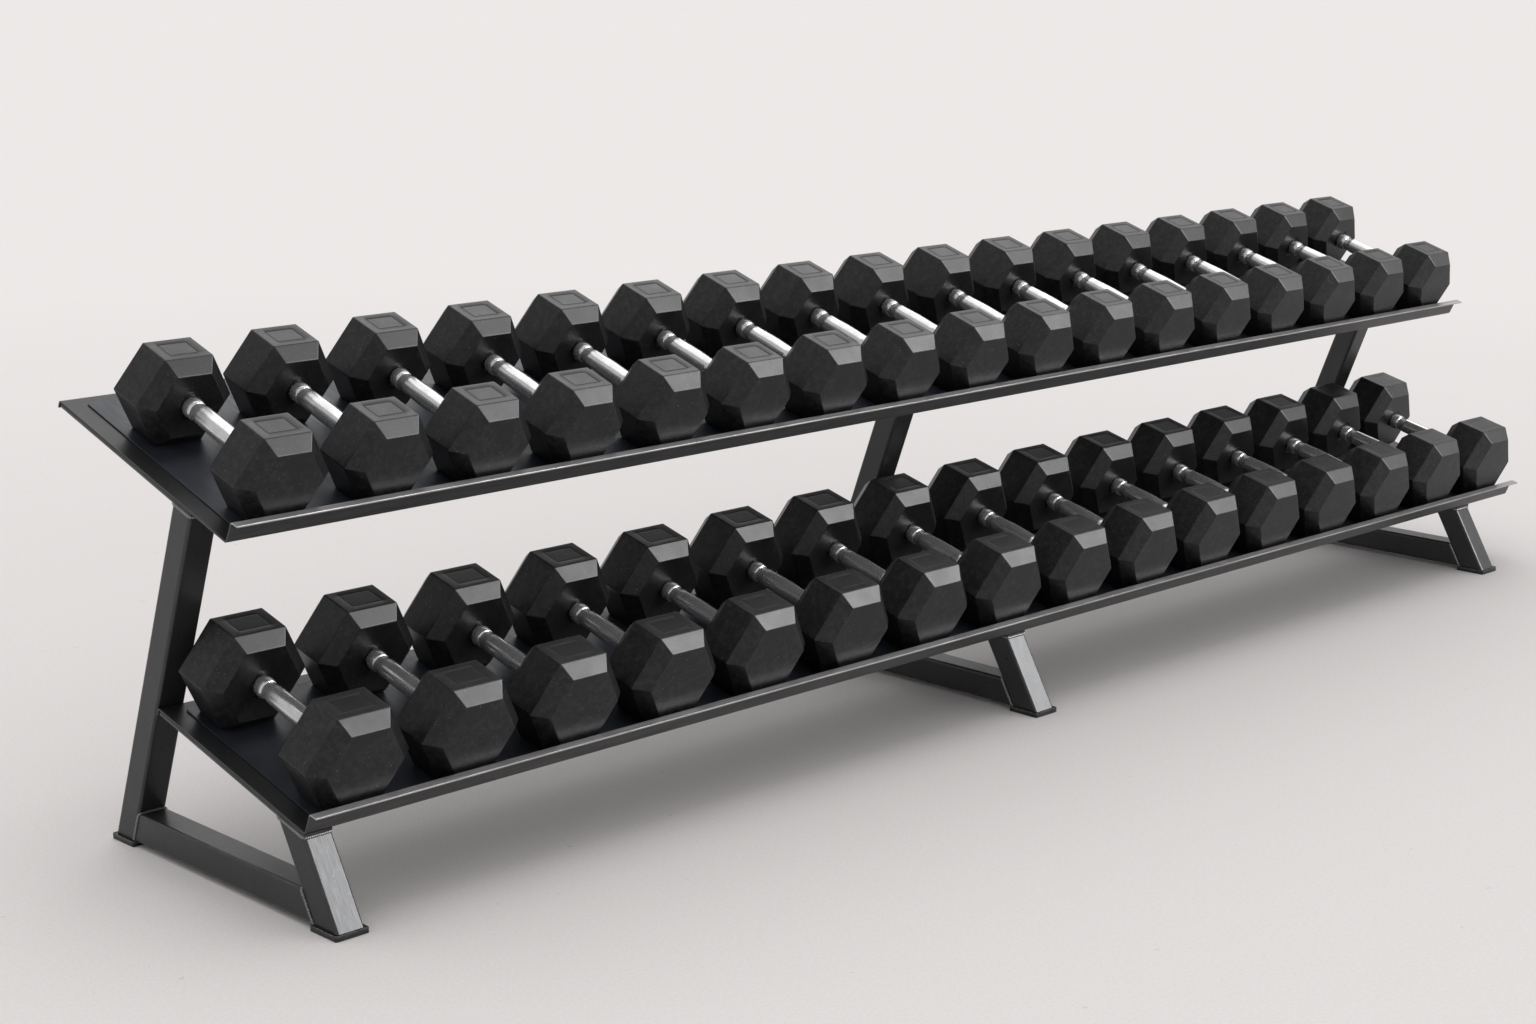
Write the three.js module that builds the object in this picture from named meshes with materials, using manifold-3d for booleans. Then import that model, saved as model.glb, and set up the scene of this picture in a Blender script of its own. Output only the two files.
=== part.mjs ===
// Two-tier dumbbell rack, loaded with hexagonal dumbbells.
//
// Millimetres, +Z up. X runs along the rack, the front is at -Y and the floor is Z = 0.
// Three welded frames of square tube carry two sloping sheet-metal trays. Each frame is a
// rear upright that leans forward, a short front leg that leans back, and a base tube
// between them. Each tray has a rubber liner, and the dumbbells lie across it, end to front.
// The origin is on the floor, under the middle of the rack's bounding box.

import * as THREE from 'three';
import { mergeVertices } from 'three/addons/utils/BufferGeometryUtils.js';
import Module from 'manifold-3d';

const wasm = await Module();
wasm.setup();

const degrees = THREE.MathUtils.degToRad;

// ---------------------------------------------------------------- driving dimensions

const GAP = 0.3;               // joint gap left between pieces that touch

const TUBE = 50;               // outside of the square frame tube
const TUBE_WALL = 3;
const TUBE_CORNER = 5;         // outside corner radius of the tube

const UPRIGHT_LEAN = degrees(21);
const LEG_LEAN = degrees(30);
const RIGHT_INSET = 155;       // from the trays' right end to the right frame
const LEG_SETBACK = 2;         // from the lower tray's front bend to the leg's front face

const FOOT_THICKNESS = 8;
const FOOT_OVERHANG = 5;       // how far a foot reaches past its tube, all round
const FOOT_CORNER = 4;
const FOOT_BEVEL = 1.5;

const SHEET = 3;               // tray sheet
const BEND = 3;                // inside radius of the sheet's bends
const LIP = 36;                // front lip, along the sheet
const LIP_SPLAY = degrees(8);  // how far the lip opens past square to the pan
const RETURN = 17;             // flange folded forward along the top of the lip
const RETURN_RISE = degrees(4);
const REAR_FLANGE = 13;        // flange folded down along the rear of the pan

const BEARER = 6;              // flat bar between a frame and the pan above it
const BEARER_REAR_SETBACK = 8; // from the pan's rear bend to the bearer's end

const LINER = 2;
const LINER_END_INSET = 34;
const LINER_FRONT_INSET = 12;
const LINER_REAR_INSET = 26;
const LINER_CORNER = 6;

const DUMBBELL_LENGTH = 385;
const HEAD_LENGTH = 110;
const HEAD_BEVEL_LENGTH = 22;  // bevel at each end of a head, along the handle
const HEAD_BEVEL_DEPTH = 21;   // the same bevel, in from each flat
const HEAD_GAP = 22;           // least gap between neighbouring heads
const HEAD_CLEARANCE = 3;      // from a head to the lip, and to the uprights behind

const COLLAR_RADIUS = 17.5;
const COLLAR_LENGTH = 16;
const NECK_RADIUS = 14.5;
const GRIP_RADIUS = 17;
const HANDLE_SIDES = 14;
const HANDLE_ROOT = 6;         // how deep the handle runs into each head

// The end margin is from a tray's end to the first head, and the bearer start from the front
// bend to the bearers' front ends.
const TOP = {
  name: 'top', count: 17, flats: 146, slope: degrees(18), frontHeight: 548,
  endMargin: 16, bearerStart: 98,
};
const LOW = {
  name: 'low', count: 16, flats: 162, slope: degrees(15), frontHeight: 143,
  endMargin: 4, bearerStart: LEG_SETBACK,
};
const TOP_OVERHANG = 104;      // from the uprights' front faces to the top tray's front bend
const TOP_REAR_MARGIN = 102;   // pan left free behind the top row

// ---------------------------------------------------------------- derived dimensions

const acrossCorners = (tier) => tier.flats / Math.cos(degrees(30));
const leastLength = (tier) =>
  tier.count * acrossCorners(tier) + (tier.count - 1) * HEAD_GAP + 2 * tier.endMargin;
const TRAY_LENGTH = Math.max(leastLength(TOP), leastLength(LOW));

const PAN_TOP = SHEET;
const LINER_BASE = PAN_TOP + GAP;
const HEAD_BASE = LINER_BASE + LINER + GAP;
const BEARER_TOP = -GAP;
const FRAME_TOP = BEARER_TOP - BEARER - GAP;
const FRAME_BASE = FOOT_THICKNESS + GAP;

// The uprights lean towards the lower row, so its tray is deeper by what they gain on it
// over the height of a head's end face.
const endFaceTop = HEAD_BASE + LOW.flats - HEAD_BEVEL_DEPTH;
const lowLeanAllowance = endFaceTop * Math.tan(UPRIGHT_LEAN - LOW.slope);
LOW.depth = DUMBBELL_LENGTH + 2 * HEAD_CLEARANCE + lowLeanAllowance;
TOP.depth = DUMBBELL_LENGTH + HEAD_CLEARANCE + TOP_REAR_MARGIN;

// Section of the frame: the uprights' centre line meets the floor at y = 0.
const uprightHalfDepth = TUBE / 2 / Math.cos(UPRIGHT_LEAN);
const legHalfDepth = TUBE / 2 / Math.cos(LEG_LEAN);
const uprightY = (z) => -z * Math.tan(UPRIGHT_LEAN);
const uprightFrontY = (z) => uprightY(z) - uprightHalfDepth;

/** Place in the rack of a point given along (u) and square to (v) a tier's pan. */
function onTier(tier, u, v) {
  const y = tier.frontY + u * Math.cos(tier.slope) - v * Math.sin(tier.slope);
  const z = tier.frontHeight + u * Math.sin(tier.slope) + v * Math.cos(tier.slope);
  return { y, z };
}

TOP.frontY = uprightFrontY(TOP.frontHeight) - TOP_OVERHANG;
LOW.frontY = 0;
const lowRear = onTier(LOW, LOW.depth, PAN_TOP);
LOW.frontY = uprightFrontY(lowRear.z) - GAP / Math.cos(UPRIGHT_LEAN) - lowRear.y;

const legTop = onTier(LOW, LEG_SETBACK, FRAME_TOP);
const legY = (z) => legTop.y + legHalfDepth - (legTop.z - z) * Math.tan(LEG_LEAN);

const leftFrameX = 0;
const rightFrameX = TRAY_LENGTH - RIGHT_INSET - TUBE;
const FRAMES = [
  ['left', leftFrameX],
  ['middle', (leftFrameX + rightFrameX) / 2],
  ['right', rightFrameX],
];

// ---------------------------------------------------------------- materials

const finish = (color, roughness, metalness) =>
  new THREE.MeshStandardMaterial({ color, roughness, metalness });

const framePaint = () => finish(0x4a4c4f, 0.42, 0.6);
const trayPaint = () => finish(0x202225, 0.35, 0.5);
const linerRubber = () => finish(0x2b2d33, 0.55, 0.0);
const footPlastic = () => finish(0x101112, 0.4, 0.0);
const headRubber = () => finish(0x1c1c1e, 0.8, 0.0);

// ---------------------------------------------------------------- geometry helpers

/** A closed three.js geometry as a solid that can be joined and cut. */
function solid(geometry) {
  const bare = geometry.clone();
  bare.deleteAttribute('normal');
  bare.deleteAttribute('uv');
  const merged = mergeVertices(bare, 1e-4);
  return new wasm.Manifold(new wasm.Mesh({
    numProp: 3,
    vertProperties: new Float32Array(merged.attributes.position.array),
    triVerts: new Uint32Array(merged.index.array),
  }));
}

/** A solid back as a three.js geometry. */
function toGeometry(body) {
  const mesh = body.getMesh();
  const geometry = new THREE.BufferGeometry();
  geometry.setAttribute('position', new THREE.BufferAttribute(mesh.vertProperties, 3));
  geometry.setIndex(new THREE.BufferAttribute(mesh.triVerts, 1));
  geometry.computeVertexNormals();
  return geometry;
}

/** A block that fills everything above the plane through (y, z) rising rearward at `tilt`. */
function blockAbove(y, z, tilt) {
  const size = 4000;
  const block = new THREE.BoxGeometry(size, size, size).translate(0, 0, size / 2);
  return solid(block.rotateX(tilt).translate(0, y, z));
}

/** A rectangle with rounded corners, centred on the origin. */
function roundedRectangle(width, depth, radius) {
  const shape = new THREE.Shape();
  const [x, y] = [width / 2 - radius, depth / 2 - radius];
  shape.absarc(x, y, radius, 0, Math.PI / 2);
  shape.absarc(-x, y, radius, Math.PI / 2, Math.PI);
  shape.absarc(-x, -y, radius, Math.PI, 1.5 * Math.PI);
  shape.absarc(x, -y, radius, 1.5 * Math.PI, 2 * Math.PI);
  shape.closePath();
  return shape;
}

/** A plain extrusion along +Z. */
function extrude(shape, depth, curveSegments = 3) {
  return new THREE.ExtrudeGeometry(shape, { depth, bevelEnabled: false, curveSegments });
}

/** Square tube along +Z, open at both ends, centred on the axis. */
function squareTube(length) {
  const section = roundedRectangle(TUBE, TUBE, TUBE_CORNER);
  const bore = TUBE - 2 * TUBE_WALL;
  section.holes.push(roundedRectangle(bore, bore, TUBE_CORNER - TUBE_WALL));
  return extrude(section, length, 2);
}

/**
 * Outline of bent sheet: the centre line runs through the corner points, every corner is an
 * arc, and the two faces lie half a sheet to each side.
 */
function sheetOutline(corners, thickness, insideRadius, steps = 4) {
  const radius = insideRadius + thickness / 2;
  const samples = [];
  const direction = (from, to) => new THREE.Vector2().subVectors(to, from).normalize();
  const addSample = (point, along) => {
    samples.push({ point, side: new THREE.Vector2(-along.y, along.x).multiplyScalar(thickness / 2) });
  };
  addSample(corners[0], direction(corners[0], corners[1]));
  for (let i = 1; i < corners.length - 1; i += 1) {
    const before = direction(corners[i - 1], corners[i]);
    const after = direction(corners[i], corners[i + 1]);
    const turn = Math.atan2(before.cross(after), before.dot(after));
    const tangent = radius * Math.tan(Math.abs(turn) / 2);
    const start = corners[i].clone().addScaledVector(before, -tangent);
    const inward = new THREE.Vector2(-before.y, before.x).multiplyScalar(Math.sign(turn) * radius);
    const centre = start.clone().add(inward);
    for (let step = 0; step <= steps; step += 1) {
      const angle = (turn * step) / steps;
      const spoke = inward.clone().negate().rotateAround(new THREE.Vector2(), angle);
      const along = before.clone().rotateAround(new THREE.Vector2(), angle);
      addSample(centre.clone().add(spoke), along);
    }
  }
  const last = corners.length - 1;
  addSample(corners[last], direction(corners[last - 1], corners[last]));
  const upper = samples.map(({ point, side }) => point.clone().add(side));
  const lower = samples.map(({ point, side }) => point.clone().sub(side)).reverse();
  return new THREE.Shape([...upper, ...lower]);
}

/** Turns an extrusion drawn in (y, z) so that it runs along +X from x = 0. */
function alongX(geometry) {
  const basis = new THREE.Matrix4().makeBasis(
    new THREE.Vector3(0, 1, 0), new THREE.Vector3(0, 0, 1), new THREE.Vector3(1, 0, 0));
  return geometry.applyMatrix4(basis);
}

// ---------------------------------------------------------------- tray pieces, in pan (u, v)

/** Bent-sheet tray: return flange, lip, pan and rear flange in one piece. */
function trayGeometry(tier) {
  const mid = SHEET / 2;
  const lipEnd = new THREE.Vector2(-Math.sin(LIP_SPLAY), Math.cos(LIP_SPLAY)).multiplyScalar(LIP);
  const returnEnd = new THREE.Vector2(-Math.cos(RETURN_RISE), Math.sin(RETURN_RISE));
  const frontBend = new THREE.Vector2(mid, mid);
  const lipTop = frontBend.clone().add(lipEnd);
  const corners = [
    lipTop.clone().addScaledVector(returnEnd, RETURN),
    lipTop,
    frontBend,
    new THREE.Vector2(tier.depth - mid, mid),
    new THREE.Vector2(tier.depth - mid, SHEET - REAR_FLANGE),
  ];
  return alongX(extrude(sheetOutline(corners, SHEET, BEND), TRAY_LENGTH));
}

/** Thin rubber liner lying on the pan, short of its ends. */
function linerGeometry(tier) {
  const length = TRAY_LENGTH - 2 * LINER_END_INSET;
  const depth = tier.depth - LINER_FRONT_INSET - LINER_REAR_INSET;
  const sheet = extrude(roundedRectangle(length, depth, LINER_CORNER), LINER);
  return sheet.translate(TRAY_LENGTH / 2, LINER_FRONT_INSET + depth / 2, LINER_BASE);
}

/** Flat bar under the pan that spreads the load onto a frame. */
function bearerGeometry(tier) {
  const length = tier.depth - tier.bearerStart - BEARER_REAR_SETBACK;
  const bar = new THREE.BoxGeometry(TUBE, length, BEARER);
  return bar.translate(TUBE / 2, tier.bearerStart + length / 2, BEARER_TOP - BEARER / 2);
}

/** One hexagonal head, its inner end at y = 0 and its flats facing up and down. */
function headGeometry(flats) {
  const full = flats / 2 / Math.cos(degrees(30));
  const end = (flats / 2 - HEAD_BEVEL_DEPTH) / Math.cos(degrees(30));
  const profile = [
    new THREE.Vector2(0, 0),
    new THREE.Vector2(end, 0),
    new THREE.Vector2(full, HEAD_BEVEL_LENGTH),
    new THREE.Vector2(full, HEAD_LENGTH - HEAD_BEVEL_LENGTH),
    new THREE.Vector2(end, HEAD_LENGTH),
    new THREE.Vector2(0, HEAD_LENGTH),
  ];
  return new THREE.LatheGeometry(profile, 6, Math.PI / 2);
}

/** Contoured handle between the heads: a collar at each end, a neck and a swelling grip. */
function handleGeometry() {
  const half = DUMBBELL_LENGTH / 2 - HEAD_LENGTH;
  const halfProfile = [
    [half + HANDLE_ROOT, COLLAR_RADIUS * 0.9],
    [half - COLLAR_LENGTH * 0.25, COLLAR_RADIUS],
    [half - COLLAR_LENGTH * 0.75, COLLAR_RADIUS],
    [half - COLLAR_LENGTH * 1.25, NECK_RADIUS],
    [half * 0.42, GRIP_RADIUS * 0.96],
  ];
  const front = halfProfile.map(([y, r]) => new THREE.Vector2(r, -y));
  const rear = halfProfile.map(([y, r]) => new THREE.Vector2(r, y)).reverse();
  const rim = [...front, new THREE.Vector2(GRIP_RADIUS, 0), ...rear];
  const capped = [new THREE.Vector2(0, rim[0].y), ...rim, new THREE.Vector2(0, rim.at(-1).y)];
  return new THREE.LatheGeometry(capped, HANDLE_SIDES);
}

/** A whole dumbbell, lying along y with its middle at the origin. */
function dumbbellGeometry(flats) {
  const offset = DUMBBELL_LENGTH / 2 - HEAD_LENGTH;
  const rear = solid(headGeometry(flats).translate(0, offset, 0));
  const front = solid(headGeometry(flats).translate(0, -offset - HEAD_LENGTH, 0));
  return toGeometry(solid(handleGeometry()).add(rear).add(front));
}

// ---------------------------------------------------------------- frame pieces

/** Rear upright: tube leaning forward, cut level at its foot and to the pan's slope on top. */
function uprightGeometry() {
  const seat = onTier(TOP, 0, FRAME_TOP);
  const length = 2 * TOP.frontHeight;
  const stock = squareTube(length).translate(0, 0, -TUBE).rotateX(UPRIGHT_LEAN);
  return toGeometry(solid(stock)
    .subtract(blockAbove(seat.y, seat.z, TOP.slope))
    .subtract(blockAbove(0, FRAME_BASE, Math.PI)));
}

/** Short front leg: tube leaning back, its top cut to the lower pan's slope. */
function legGeometry() {
  const seat = onTier(LOW, 0, FRAME_TOP);
  const stock = squareTube(3 * LOW.frontHeight).translate(0, 0, -TUBE).rotateX(-LEG_LEAN);
  return toGeometry(solid(stock.translate(0, legY(0), 0))
    .subtract(blockAbove(seat.y, seat.z, LOW.slope))
    .subtract(blockAbove(0, FRAME_BASE, Math.PI)));
}

/** Base tube just above the floor, its ends cut to the leg's and the upright's faces. */
function baseGeometry() {
  const middle = FRAME_BASE + TUBE / 2;
  const rearCut = uprightFrontY(middle) - GAP / Math.cos(UPRIGHT_LEAN);
  const frontCut = legY(middle) + legHalfDepth + GAP / Math.cos(LEG_LEAN);
  const length = rearCut - frontCut + 2 * TUBE;
  const stock = squareTube(length).rotateX(-Math.PI / 2).translate(0, frontCut - TUBE, middle);
  return toGeometry(solid(stock)
    .subtract(blockAbove(rearCut, middle, UPRIGHT_LEAN - Math.PI / 2))
    .subtract(blockAbove(frontCut, middle, Math.PI / 2 - LEG_LEAN)));
}

/** Foot under a tube end of the given depth. */
function footGeometry(tubeDepth) {
  const outline = roundedRectangle(TUBE + 2 * FOOT_OVERHANG, tubeDepth + 2 * FOOT_OVERHANG, FOOT_CORNER);
  return new THREE.ExtrudeGeometry(outline, {
    depth: FOOT_THICKNESS - 2 * FOOT_BEVEL,
    bevelThickness: FOOT_BEVEL,
    bevelSize: FOOT_BEVEL,
    bevelOffset: -FOOT_BEVEL,
    bevelSegments: 1,
    curveSegments: 3,
  }).translate(0, 0, FOOT_BEVEL);
}

// ---------------------------------------------------------------- assembly

function addPiece(parent, name, geometry, material, x = 0, y = 0, z = 0) {
  const mesh = new THREE.Mesh(geometry, material);
  mesh.name = name;
  mesh.position.set(x, y, z);
  parent.add(mesh);
}

/** A tray with its liner, bearers and row of dumbbells, in a group turned to the pan's slope. */
function buildTier(tier) {
  const group = new THREE.Group();
  group.position.set(0, tier.frontY, tier.frontHeight);
  group.rotation.x = tier.slope;
  addPiece(group, `${tier.name}_tray`, trayGeometry(tier), trayPaint());
  addPiece(group, `${tier.name}_tray_liner`, linerGeometry(tier), linerRubber());
  for (const [side, x] of FRAMES) {
    addPiece(group, `${tier.name}_bearer_${side}`, bearerGeometry(tier), framePaint(), x);
  }
  const firstX = tier.endMargin + acrossCorners(tier) / 2;
  const pitch = (TRAY_LENGTH - 2 * firstX) / (tier.count - 1);
  const middle = HEAD_CLEARANCE + DUMBBELL_LENGTH / 2;
  const axisHeight = HEAD_BASE + tier.flats / 2;
  const dumbbell = dumbbellGeometry(tier.flats);
  for (let i = 0; i < tier.count; i += 1) {
    const name = `dumbbell_${tier.name}_${String(i + 1).padStart(2, '0')}`;
    addPiece(group, name, dumbbell, headRubber(), firstX + i * pitch, middle, axisHeight);
  }
  return group;
}

/** Upright, leg, base tube and two feet, with the tube's outer face at x. */
function buildFrame(side, x) {
  const group = new THREE.Group();
  group.position.x = x + TUBE / 2;
  addPiece(group, `upright_${side}`, uprightGeometry(), framePaint());
  addPiece(group, `front_leg_${side}`, legGeometry(), framePaint());
  addPiece(group, `base_tube_${side}`, baseGeometry(), framePaint());
  addPiece(group, `rear_foot_${side}`, footGeometry(2 * uprightHalfDepth), footPlastic(),
    0, uprightY(FRAME_BASE));
  addPiece(group, `front_foot_${side}`, footGeometry(2 * legHalfDepth), footPlastic(),
    0, legY(FRAME_BASE));
  return group;
}

const rack = new THREE.Group();
rack.add(buildTier(TOP), buildTier(LOW));
for (const [side, x] of FRAMES) {
  rack.add(buildFrame(side, x));
}
const centre = new THREE.Box3().setFromObject(rack, true).getCenter(new THREE.Vector3());
rack.position.set(-centre.x, -centre.y, 0);

export default rack;
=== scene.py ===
"""Looks of a two-tier dumbbell rack: bent-sheet trays, welded tube frames, hexagonal dumbbells.

Every new surface is worked out as an array of points: a section carried along a line, a
stack of outlines, or a profile turned about an axis. Lengths are metres, in the frame of the
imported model: +X along the rack, +Y to its rear, +Z up.
"""

import logging
import math
from dataclasses import dataclass, field
from enum import Enum
from typing import ClassVar

import bpy
import numpy as np
import numpy.typing as npt
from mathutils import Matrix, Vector


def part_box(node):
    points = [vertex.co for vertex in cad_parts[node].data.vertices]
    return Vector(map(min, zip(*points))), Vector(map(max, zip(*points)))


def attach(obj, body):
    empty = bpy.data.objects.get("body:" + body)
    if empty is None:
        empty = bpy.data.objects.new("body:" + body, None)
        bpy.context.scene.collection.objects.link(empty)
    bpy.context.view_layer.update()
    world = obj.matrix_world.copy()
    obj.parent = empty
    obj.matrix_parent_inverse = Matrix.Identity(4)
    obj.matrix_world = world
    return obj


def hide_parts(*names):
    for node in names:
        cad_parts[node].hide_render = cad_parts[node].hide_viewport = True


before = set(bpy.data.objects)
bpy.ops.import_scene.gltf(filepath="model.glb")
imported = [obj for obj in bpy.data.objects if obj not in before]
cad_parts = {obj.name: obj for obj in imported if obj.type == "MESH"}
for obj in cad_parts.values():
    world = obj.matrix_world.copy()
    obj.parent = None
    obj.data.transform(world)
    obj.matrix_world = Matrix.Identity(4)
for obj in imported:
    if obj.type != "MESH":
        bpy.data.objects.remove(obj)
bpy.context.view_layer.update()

LOG = logging.getLogger("dumbbell_rack")
Array = npt.NDArray[np.float64]
Colour = tuple[float, float, float]
MM = 0.001
RACK = "rack"
SMOOTH_ANGLE = math.radians(38)
HALF_CORNER = math.tan(math.radians(30))


class Slot(Enum):
    """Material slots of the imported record."""

    FRAME = "frame_paint"
    TRAY = "tray_paint"
    LINER = "liner_rubber"
    FOOT = "foot_plastic"
    DUMBBELL = "rubber_coated_iron"


class Side(Enum):
    """The three welded frames, seen from the front."""

    LEFT = "left"
    MIDDLE = "middle"
    RIGHT = "right"


class Row(Enum):
    """The two rows of dumbbells."""

    TOP = "top"
    LOW = "low"


class End(Enum):
    """The two heads of a dumbbell, by which way they lie from its middle."""

    FRONT = -1
    REAR = 1


# ---------------------------------------------------------------- meshes from arrays


def smooth_step(low: float, high: float, value: Array) -> Array:
    """Rises from 0 at low to 1 at high as 3t^2 - 2t^3.

    Args:
        low: Value where the step starts.
        high: Value where the step ends.
        value: Values to map.

    Returns:
        An array of the same shape, from 0 to 1.
    """
    t = np.clip((value - low) / (high - low), 0.0, 1.0)
    return t * t * (3.0 - 2.0 * t)


def fillet(corners: Array, radius: float, steps: int, closed: bool, hold: float) -> tuple[Array, Array]:
    """Swaps each corner of a flat line for an arc, with a point held close to each of its ends.

    The arc starts radius * tan(turn / 2) before the corner; its centre lies one radius to the
    inner side, and the spoke from there turns evenly through the corner's angle. The held
    points keep the straight stretches flat under smooth shading.

    Args:
        corners: Corner points, shape (n, 2).
        radius: Arc radius.
        steps: Straight pieces in each arc.
        closed: Whether the line returns to its first corner.
        hold: Distance of the held points from the arc's ends.

    Returns:
        The line's points and its unit directions there, each of shape (m, 2).
    """
    before = corners - np.roll(corners, 1, axis=0)
    before /= np.linalg.norm(before, axis=1, keepdims=True)
    after = np.roll(before, -1, axis=0)
    cross = before[:, 0] * after[:, 1] - before[:, 1] * after[:, 0]
    turn = np.arctan2(cross, np.sum(before * after, axis=1))
    start = corners - before * (radius * np.tan(np.abs(turn) / 2))[:, None]
    inward = np.stack([-before[:, 1], before[:, 0]], axis=1) * (np.sign(turn) * radius)[:, None]
    angle = turn[:, None] * np.linspace(0.0, 1.0, steps + 1)
    cos, sin = np.cos(angle), np.sin(angle)

    def turned(vector: Array) -> Array:
        """Each corner's vector, turned through every angle of its arc."""
        x, y = vector[:, :1], vector[:, 1:]
        return np.stack([x * cos - y * sin, x * sin + y * cos], axis=2)

    points = (start + inward)[:, None] + turned(-inward)
    along = turned(before)
    points = np.concatenate([points[:, :1] - along[:, :1] * hold, points,
                             points[:, -1:] + along[:, -1:] * hold], axis=1)
    along = np.concatenate([along[:, :1], along, along[:, -1:]], axis=1)
    if closed:
        return points.reshape(-1, 2), along.reshape(-1, 2)
    line = np.concatenate([corners[:1], points[1:-1].reshape(-1, 2), corners[-1:]])
    ways = np.concatenate([after[:1], along[1:-1].reshape(-1, 2), before[-1:]])
    return line, ways


def rounded_rectangle(width: float, depth: float, radius: float, steps: int = 4) -> Array:
    """Outline of a rectangle with rounded corners, centred on the origin, shape (n, 2)."""
    x, y = width / 2, depth / 2
    corners = np.array([(-x, -y), (x, -y), (x, y), (-x, y)])
    return fillet(corners, radius, steps, True, min(radius, 0.8 * MM))[0]


def stack(width: float, depth: float, radius: float, profile: Array) -> Array:
    """Rounded rectangles one above another: ring k is drawn in by inset k and lies at height k.

    Args:
        width: Size along x of the widest ring.
        depth: Size along y of the widest ring.
        radius: Corner radius of the widest ring.
        profile: Pairs of inset and height, shape (k, 2).

    Returns:
        Rings of points, shape (k, n, 3).
    """
    rings = [rounded_rectangle(width - 2 * inset, depth - 2 * inset, max(radius - inset, 0.4 * MM))
             for inset in profile[:, 0]]
    flat = np.stack(rings)
    height = np.broadcast_to(profile[:, 1, None, None], flat.shape[:2] + (1,))
    return np.concatenate([flat, height], axis=2)


def make_piece(name: str, material: bpy.types.Material, rings: Array, wear: Array | None = None,
               looped: bool = False) -> bpy.types.Object:
    """Makes a closed surface into an object: rings joined by quads, and the two end rings filled.

    Quad (i, j) joins points j and j + 1 of rings i and i + 1, counted round. The faces are
    turned outwards by the sign of the volume they enclose.

    Args:
        name: Name of the piece.
        material: Its finish.
        rings: Points, shape (rings, points in a ring, 3).
        wear: Wear at every point, which some finishes also use for painted highlights, shape (rings, points
            in a ring), or None for no wear.
        looped: Whether the last ring joins the first, which leaves no ends to fill.

    Returns:
        The object, at the origin.
    """
    rows, columns = rings.shape[:2]
    index = np.arange(rows * columns).reshape(rows, columns)
    first = index if looped else index[:-1]
    second = np.roll(index, -1, axis=0)[: len(first)]
    quads = np.stack([first, np.roll(first, -1, axis=1), np.roll(second, -1, axis=1), second], axis=2)
    quads = quads.reshape(-1, 4)
    flat = rings.reshape(-1, 3)
    corner = flat[quads]
    edges = corner[:, 1:] - corner[:, :1]
    volume = np.sum(np.cross(edges[:, 0], edges[:, 1]) * corner[:, 0])
    volume += np.sum(np.cross(edges[:, 1], edges[:, 2]) * corner[:, 0])
    ends = [] if looped else [index[0, ::-1], index[-1]]
    for ring in ends:
        fan = flat[ring]
        volume += np.sum(np.cross(fan[1:-1] - fan[0], fan[2:] - fan[0]) @ fan[0])
    way = 1 if volume > 0 else -1
    faces = quads[:, ::way].tolist() + [ring[::way].tolist() for ring in ends]
    worn = np.zeros(len(flat)) if wear is None else wear.reshape(-1)
    mesh = bpy.data.meshes.new(name)
    mesh.from_pydata(flat, [], faces)
    mesh.attributes.new("wear", "FLOAT", "POINT").data.foreach_set("value", worn.astype(np.float32))
    mesh.materials.append(material)
    mesh.shade_smooth()
    mesh.set_sharp_from_angle(angle=SMOOTH_ANGLE)
    mesh.update()
    piece = bpy.data.objects.new(name, mesh)
    bpy.context.scene.collection.objects.link(piece)
    return piece


def settle(piece: bpy.types.Object, body: str, slot: Slot, *nodes: str) -> bpy.types.Object:
    """Puts a piece on its body, lets it stand for CAD nodes, and reports it.

    Args:
        piece: The finished piece.
        body: CAD body it moves with.
        slot: Material slot of the record; not used.
        nodes: CAD nodes it stands for.

    Returns:
        The same piece.
    """
    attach(piece, body)
    if nodes:
        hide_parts(*nodes)
    LOG.info("%s on %s: %d faces", piece.name, body, len(piece.data.polygons))
    return piece


# ---------------------------------------------------------------- finishes


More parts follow.
